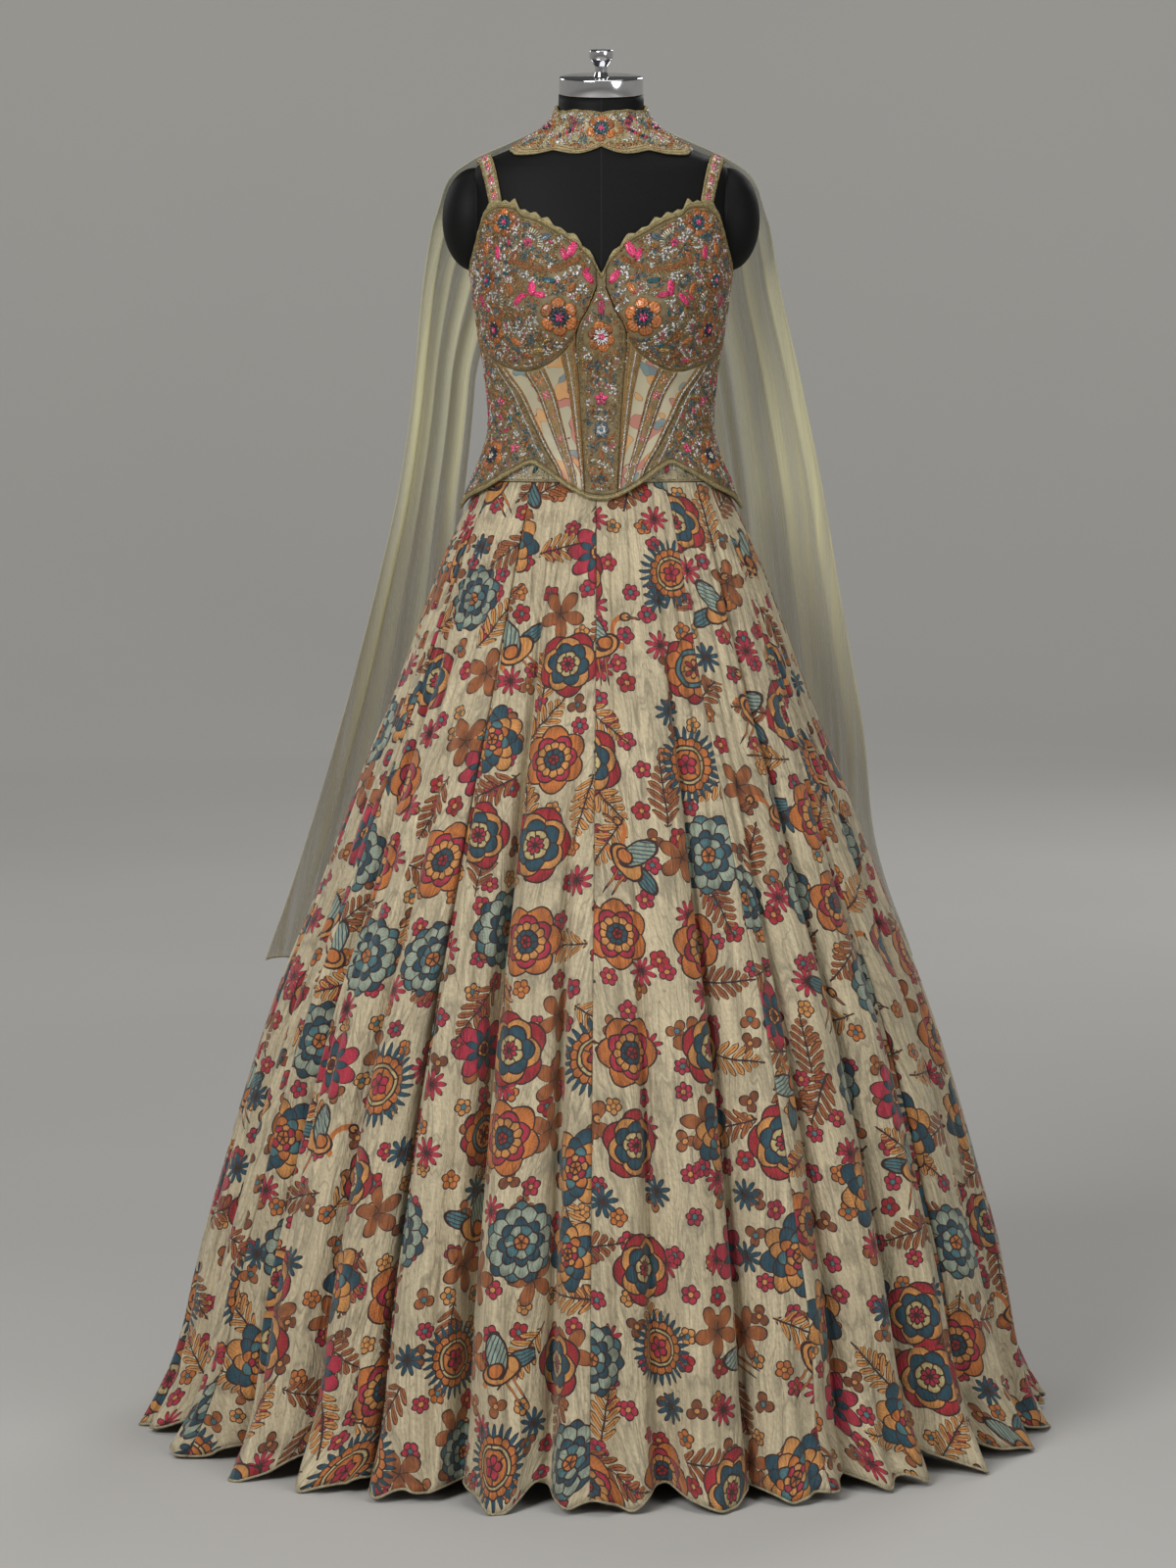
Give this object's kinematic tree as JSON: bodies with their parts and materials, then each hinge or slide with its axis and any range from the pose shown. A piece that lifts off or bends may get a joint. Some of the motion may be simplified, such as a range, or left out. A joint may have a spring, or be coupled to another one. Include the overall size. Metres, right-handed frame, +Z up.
{
  "type": "lehenga choli on a dress form",
  "caption": "Flared floor-length printed skirt with a beaded, boned sleeveless bodice, beaded collar and net trails, on a limbless black dress form with a round stand.",
  "frame": {"origin": "centre of the outline on the floor, under the form", "axes": "+Z up from the floor to the neck knob, -Y towards the wearer's front, +X towards the wearer's left hand"},
  "size_m": [1.0815, 1.0272, 1.637],
  "materials": {
    "printed_silk": "crushed silk, cream-gold ground with a flower print",
    "beaded_embroidery": "beads, bugles and sequins on an olive-gold ground",
    "gold_binding": "olive-gold silk binding",
    "olive_net": "fine soft net, see-through",
    "form_cloth": "matt black jersey",
    "chrome": "polished",
    "stand_metal": "satin black"
  },
  "bodies": {
    "root": {"skirt_gore_01": "printed_silk", "skirt_gore_02": "printed_silk", "skirt_gore_03": "printed_silk", "skirt_gore_04": "printed_silk", "skirt_gore_05": "printed_silk", "skirt_gore_06": "printed_silk", "skirt_gore_07": "printed_silk", "skirt_gore_08": "printed_silk", "skirt_gore_09": "printed_silk", "skirt_gore_10": "printed_silk", "skirt_gore_11": "printed_silk", "skirt_gore_12": "printed_silk", "skirt_waistband": "beaded_embroidery", "choli_front_centre": "beaded_embroidery", "choli_cup_left": "beaded_embroidery", "choli_cup_right": "beaded_embroidery", "choli_front_left": "beaded_embroidery", "choli_front_right": "beaded_embroidery", "choli_side_left": "beaded_embroidery", "choli_side_right": "beaded_embroidery", "choli_back_left": "beaded_embroidery", "choli_back_right": "beaded_embroidery", "choli_strap_left": "beaded_embroidery", "choli_strap_right": "beaded_embroidery", "collar": "beaded_embroidery", "choli_neck_binding": "gold_binding", "choli_hem_binding": "gold_binding", "net_trail_left": "olive_net", "net_trail_right": "olive_net", "form_body": "form_cloth", "form_neck_cap": "chrome", "form_neck_knob": "chrome", "stand_pole": "stand_metal", "stand_base": "stand_metal"}
  },
  "joints": []
}
